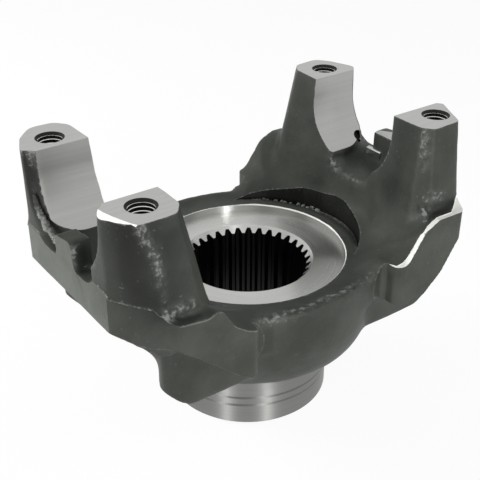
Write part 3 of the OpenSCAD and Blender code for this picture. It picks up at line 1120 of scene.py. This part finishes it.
def maths(tree, operation, *operands, clamp=False):
    """Result of a Math node."""
    sockets = dict(enumerate(operands))
    return add_node(tree, "ShaderNodeMath", sockets, operation=operation, use_clamp=clamp).outputs[0]


def mix_colours(tree, factor, first, second):
    """Result of mixing two colours."""
    sockets = {"Factor": factor, 6: first, 7: second}
    return add_node(tree, "ShaderNodeMix", sockets, data_type="RGBA").outputs[2]


def ramp(tree, value, low, high):
    """A value with low..high turned into 0..1."""
    sockets = {"Value": value, "From Min": low, "From Max": high}
    return add_node(tree, "ShaderNodeMapRange", sockets).outputs["Result"]


def noise_mask(tree, place, size, detail, roughness=0.5):
    """Strength of a noise texture of the given scale."""
    return add_node(
        tree, "ShaderNodeTexNoise", Vector=place, Scale=size, Detail=detail, Roughness=roughness
    ).outputs["Fac"]


def object_place(tree):
    """Object coordinates of the surface."""
    return tree.nodes.new("ShaderNodeTexCoord").outputs["Object"]


def new_group(name, inputs):
    """A node group with its named inputs: vectors and colours, or numbers with their defaults."""
    group = bpy.data.node_groups.new(name, "ShaderNodeTree")
    for socket, kind in inputs.items():
        number = not isinstance(kind, str)
        full_kind = "NodeSocketFloat" if number else "NodeSocket" + kind
        item = group.interface.new_socket(socket, in_out="INPUT", socket_type=full_kind)
        if number:
            item.default_value = kind
    return group, group.nodes.new("NodeGroupInput").outputs


def close_group(group, colour_out, numbers):
    """Give a node group its colour output and its outputs of numbers."""
    end = group.nodes.new("NodeGroupOutput")
    for name, socket in {"Color": colour_out, **numbers}.items():
        kind = "NodeSocketColor" if name == "Color" else "NodeSocketFloat"
        group.interface.new_socket(name, in_out="OUTPUT", socket_type=kind)
        group.links.new(socket, end.inputs[name])
    return group


def scale_skin():
    """Node group: patchy oxide scale with pits, flecks and bare places, darkened by painted shade."""
    group, given = new_group("scale_skin", {
        "Vector": "Vector", "Dark": "Color", "Light": "Color", "Bare": "Color",
        "Bareness": 0.0, "Flecks": 0.5, "Painted Shade": 0.0,
    })
    place = given["Vector"]
    clouds = noise_mask(group, place, 38.0, 5.0, 0.6)
    pits = noise_mask(group, place, 700.0, 3.0, 0.6)
    grit = noise_mask(group, place, 2400.0, 2.0)
    fleck = noise_mask(group, place, 310.0, 6.0, 0.75)
    patches = mix_colours(group, ramp(group, clouds, 0.36, 0.64), given["Dark"], given["Light"])
    spots = maths(group, "MULTIPLY", ramp(group, fleck, 0.66, 0.74), given["Flecks"])
    torn = maths(group, "MULTIPLY_ADD", given["Bareness"], 0.46, pits)
    crumbs = ramp(group, torn, 0.67, 0.93)
    worn = maths(group, "MULTIPLY_ADD", given["Bareness"], 0.42, crumbs, clamp=True)
    bare = maths(group, "MAXIMUM", spots, worn)
    # Painted shade: the patches are darkened towards black where the map of painted shade says
    shaded_patches = mix_colours(group, given["Painted Shade"], patches, (0.006, 0.0065, 0.006, 1))
    gloss = add_node(
        group, "ShaderNodeMapRange", {"Value": clouds, "To Min": 0.36, "To Max": 0.55}
    ).outputs["Result"]
    return close_group(group, mix_colours(group, bare, shaded_patches, given["Bare"]), {
        "Roughness": gloss,
        "Height": maths(group, "MULTIPLY_ADD", grit, 0.35, pits),
    })


def tool_marks():
    """Node group: the fine lines that a cutting tool leaves along its path."""
    group, given = new_group("tool_marks", {
        "Vector": "Vector", "Steel": "Color", "Shade": "Color", "Smooth": 0.28, "Rough": 0.4,
    })
    lines = noise_mask(group, given["Vector"], 1.0, 3.0, 0.65)
    share = ramp(group, lines, 0.3, 0.7)
    level = add_node(
        group, "ShaderNodeMix", {"Factor": share, 2: given["Rough"], 3: given["Smooth"]},
        data_type="FLOAT",
    ).outputs[0]
    return close_group(group, mix_colours(group, share, given["Shade"], given["Steel"]), {
        "Roughness": level,
        "Height": lines,
    })


def shade(value, level=1.0):
    """A colour made darker or lighter, with its alpha."""
    return (*[v * level for v in value], 1)


def dress(tree, finish, relief, depth):
    """Lead a finish's colour, roughness and relief to the shader."""
    height = finish.outputs["Height"]
    bump = add_node(tree, "ShaderNodeBump", Height=height, Strength=relief, Distance=depth)
    inputs = shader_of(tree).inputs
    tree.links.new(finish.outputs["Color"], inputs["Base Color"])
    tree.links.new(finish.outputs["Roughness"], inputs["Roughness"])
    tree.links.new(bump.outputs["Normal"], inputs["Normal"])


def forged_material(name, skin, dark, light, bare, flecks, marked):
    """Oiled oxide scale; marked says whether it reads the maps of bare metal."""
    tree = new_material(name)
    set_inputs(shader_of(tree), {
        "Metallic": 0.15, "Specular IOR Level": 0.12, "Coat Weight": 0.03, "Coat Roughness": 0.22,
    })
    # Every forged finish reads the map of painted shade, which darkens hollows and faces turned from
    # the lamps.
    painted_shade, edge, torn = (
        add_node(tree, "ShaderNodeAttribute", attribute_name=layer).outputs["Fac"]
        for layer in ("painted_shade", "edge", "bare")
    )
    finish = add_node(tree, "ShaderNodeGroup", {
        "Vector": object_place(tree), "Dark": dark, "Light": light, "Bare": bare,
        "Flecks": flecks, "Painted Shade": painted_shade,
    }, node_tree=skin)
    if marked:
        bareness = maths(tree, "MULTIPLY_ADD", edge, 0.6, torn, clamp=True)
        tree.links.new(bareness, finish.inputs["Bareness"])
    dress(tree, finish, 0.5, 0.00025)


def ring_place(tree):
    """Angle round the spline axis, distance from it, and height."""
    axes = add_node(tree, "ShaderNodeSeparateXYZ", {0: object_place(tree)}).outputs
    flat = add_node(tree, "ShaderNodeCombineXYZ", X=axes[0], Y=axes[1]).outputs[0]
    radius = add_node(tree, "ShaderNodeVectorMath", {0: flat}, operation="LENGTH").outputs["Value"]
    angle = maths(tree, "ARCTAN2", axes[1], axes[0])
    return add_node(tree, "ShaderNodeCombineXYZ", X=angle, Y=radius, Z=axes[2]).outputs[0]


def steel_material(name, marks, steel, path, stretch, smooth, rough, groove, streak):
    """Freshly cut steel. path is line or ring: how the tool ran over the face."""
    tree = new_material(name)
    shader = shader_of(tree)
    set_inputs(shader, {"Metallic": 1, "Anisotropic": streak, "Anisotropic Rotation": 0.25})
    place = object_place(tree) if path == "line" else ring_place(tree)
    mapping = add_node(tree, "ShaderNodeMapping", {"Vector": place, "Scale": stretch})
    finish = add_node(tree, "ShaderNodeGroup", {
        "Vector": mapping.outputs["Vector"], "Steel": shade(steel), "Shade": shade(steel, 0.93),
        "Smooth": smooth, "Rough": rough,
    }, node_tree=marks)
    if path == "ring":
        tangent = add_node(tree, "ShaderNodeTangent", direction_type="RADIAL", axis="Z")
        tree.links.new(tangent.outputs[0], shader.inputs["Tangent"])
    dress(tree, finish, groove, 0.00005)


# Forged finishes: how light, share of flecks, whether the maps of bare metal show
SCALES = (
    ("forged_scale", 1.0, 0.5, True),
    ("sheared_scale", 1.1, 0.25, False),
    # Near-black scale on the crescent's wall: painted shade.
    ("crescent_wall_shade", 0.25, 0.1, False),
    # Lighter scale on the flat ends: painted light.
    ("end_lit_scale", 1.9, 0.3, False),
)
# Cut finishes: how light, tool path, stretch of its marks, roughness low and high, depth of the
# marks, and streak of the highlights
CUTS = (
    ("bored_steel", 0.78, "line", (18, 900, 900), 0.36, 0.42, 0.08, 0.0),
    ("milled_steel", 0.88, "line", (60, 700, 60), 0.38, 0.44, 0.06, 0.0),
    # Near-black tapped holes: painted shade; brighter thread crests: painted highlights.
    ("tapped_steel", 0.03, "line", (300, 300, 1500), 0.4, 0.5, 0.1, 0.0),
    ("thread_crest", 1.4, "line", (300, 300, 1500), 0.16, 0.22, 0.1, 0.0),
    ("faced_steel", 1.0, "ring", (0.8, 1400, 40), 0.26, 0.32, 0.08, 0.9),
    # Darker turned steel of the hub: painted shade under the body.
    ("turned_steel", 0.47, "ring", (0.8, 40, 1500), 0.40, 0.46, 0.05, 0.9),
    # Near-black steel of the bore: painted shade.
    ("splined_steel", 0.06, "line", (900, 900, 30), 0.3, 0.42, 0.3, 0.0),
    # Near-black inside of the fold: painted shade.
    ("open_fold", 0.03, "line", (300, 300, 300), 0.4, 0.5, 0.2, 0.0),
)


class YOKE_OT_materials(bpy.types.Operator):
    """Build the finishes: forged scale, sheared scale and the machined steels"""

    bl_idname = "yoke.materials"
    bl_label = "Finishes"

    def execute(self, context):
        c = context.scene.yoke_finish
        skin = scale_skin()
        marks = tool_marks()
        bare = shade(c.bare)
        for name, level, flecks, marked in SCALES:
            dark, light = shade(c.scale_dark, level), shade(c.scale, level)
            forged_material(name, skin, dark, light, bare, flecks, marked)
        dark, light = shade(c.bare, 0.45), shade(c.bare, 1.5)
        forged_material("torn_flash", skin, dark, light, bare, 0.9, False)
        for name, level, *looks in CUTS:
            steel_material(name, marks, [v * level for v in c.steel], *looks)
        # Near-white finish of the ledges and bright edges: bare metal with a painted highlight.
        ledge = ("line", (250, 250, 250), 0.42, 0.55, 0.4, 0.0)
        steel_material("bare_metal_and_highlight", marks, c.ledge, *ledge)
        for name, values in (
            ("bare_metal_and_highlight", {"Metallic": 0.35}),
            # Painted shade in the tapped holes: not metallic and barely glossy.
            ("tapped_steel", {"Metallic": 0.0, "Specular IOR Level": 0.08}),
        ):
            set_inputs(shader_of(bpy.data.materials[name].node_tree), values)
        return {"FINISHED"}


# Stage

# Lamps: place, size, power in watts, and whether polished faces mirror it
LAMPS = (
    ("key", (-0.5, 0.6, 0.4), (0.4, 0.4), 8.5, False),
    ("fill", (0.45, -0.35, 0.3), (0.25, 0.3), 1.6, False),
    ("strip_left", (-0.79, -0.43, 0.16), (0.05, 0.5), 4.4, True),
    ("strip_front", (-0.16, -0.89, 0.16), (0.05, 0.5), 5, True),
)


def seen_directly(tree):
    """1 for camera, glossy and transmission rays."""
    path = tree.nodes.new("ShaderNodeLightPath").outputs
    total = path["Is Camera Ray"]
    for kind in ("Is Glossy Ray", "Is Transmission Ray"):
        total = maths(tree, "MAXIMUM", total, path[kind])
    return total


def add_floor(paint):
    """Pale floor, which looks white from the camera and keeps the yoke's shadow."""
    bpy.ops.object.select_all(action="DESELECT")
    bpy.ops.mesh.primitive_plane_add(size=8, location=(0, 0, -0.0002))
    floor = bpy.context.object
    floor.name = "floor"
    tree = new_material("pale_floor")
    shader = shader_of(tree)
    set_inputs(shader, {"Base Color": shade(paint), "Roughness": 0.9, "Specular IOR Level": 0.1})
    glow = add_node(tree, "ShaderNodeEmission", Color=(1, 1, 1, 1), Strength=1.0).outputs[0]
    share = maths(tree, "MULTIPLY", seen_directly(tree), 0.92)
    blend = add_node(tree, "ShaderNodeMixShader", {0: share, 1: shader.outputs[0], 2: glow})
    tree.links.new(blend.outputs[0], tree.nodes["Material Output"].inputs["Surface"])
    finished(floor, "pale_floor")


def add_world():
    """White surroundings that light the yoke at less than half the strength they are seen with."""
    world = bpy.data.worlds.new("studio")
    bpy.context.scene.world = world
    world.use_nodes = True
    tree = world.node_tree
    sockets = {"Value": seen_directly(tree), "To Min": 0.4, "To Max": 1.0}
    level = add_node(tree, "ShaderNodeMapRange", sockets)
    back = tree.nodes["Background"]
    back.inputs["Color"].default_value = (1, 1, 1, 1)
    tree.links.new(level.outputs["Result"], back.inputs["Strength"])


class YOKE_OT_stage(bpy.types.Operator):
    """Add the pale floor, the soft lights and the camera at the photograph's angle"""

    bl_idname = "yoke.stage"
    bl_label = "Stage"

    def execute(self, context):
        add_floor(context.scene.yoke_finish.floor)
        add_world()
        for name, place, size, power, mirrored_by_metal in LAMPS:
            bpy.ops.object.light_add(type="AREA", location=place)
            lamp = context.object
            lamp.name = name
            lamp.data.shape = "RECTANGLE"
            lamp.data.size, lamp.data.size_y = size
            lamp.data.energy = power
            lamp.visible_glossy = mirrored_by_metal
            aim = Vector((0, 0, 0.07)) - Vector(place)
            lamp.rotation_euler = aim.to_track_quat("-Z", "Y").to_euler()
        bpy.ops.object.camera_add(
            location=(-0.20703, -0.28421, 0.27539),
            rotation=(math.radians(60.298), 0, math.radians(-35.518)),
        )
        camera = context.object
        camera.data.lens = 67.56
        camera.data.sensor_width = 36
        context.scene.camera = camera
        context.scene.view_settings.view_transform = "Standard"
        return {"FINISHED"}


class YOKE_PT_panel(bpy.types.Panel):
    """Sidebar panel that lists the steps in order"""

    bl_label = "Yoke"
    bl_space_type = "VIEW_3D"
    bl_region_type = "UI"
    bl_category = "Yoke"

    def draw(self, context):
        layout = self.layout
        for operator in OPERATORS:
            layout.operator(operator.bl_idname)


OPERATORS = (
    YOKE_OT_materials,
    YOKE_OT_forging,
    YOKE_OT_trimming,
    YOKE_OT_machining,
    YOKE_OT_stage,
)
GROUPS = {
    "yoke_forging": YokeForgingSizes,
    "yoke_machining": YokeMachiningSizes,
    "yoke_finish": YokeFinish,
}


def register():
    """Register the classes and hang the settings on the scene."""
    for name, group in GROUPS.items():
        bpy.utils.register_class(group)
        setattr(bpy.types.Scene, name, bpy.props.PointerProperty(type=group))
    for operator in OPERATORS:
        bpy.utils.register_class(operator)
    bpy.utils.register_class(YOKE_PT_panel)


def unregister():
    """Take the classes and the settings away again."""
    bpy.utils.unregister_class(YOKE_PT_panel)
    for operator in reversed(OPERATORS):
        bpy.utils.unregister_class(operator)
    for name, group in reversed(GROUPS.items()):
        delattr(bpy.types.Scene, name)
        bpy.utils.unregister_class(group)


def main():
    """Run the steps in order."""
    register()
    bpy.ops.yoke.materials()
    bpy.ops.yoke.forging()
    bpy.ops.yoke.trimming()
    bpy.ops.yoke.machining()
    bpy.ops.yoke.stage()


if __name__ == "__main__":
    main()
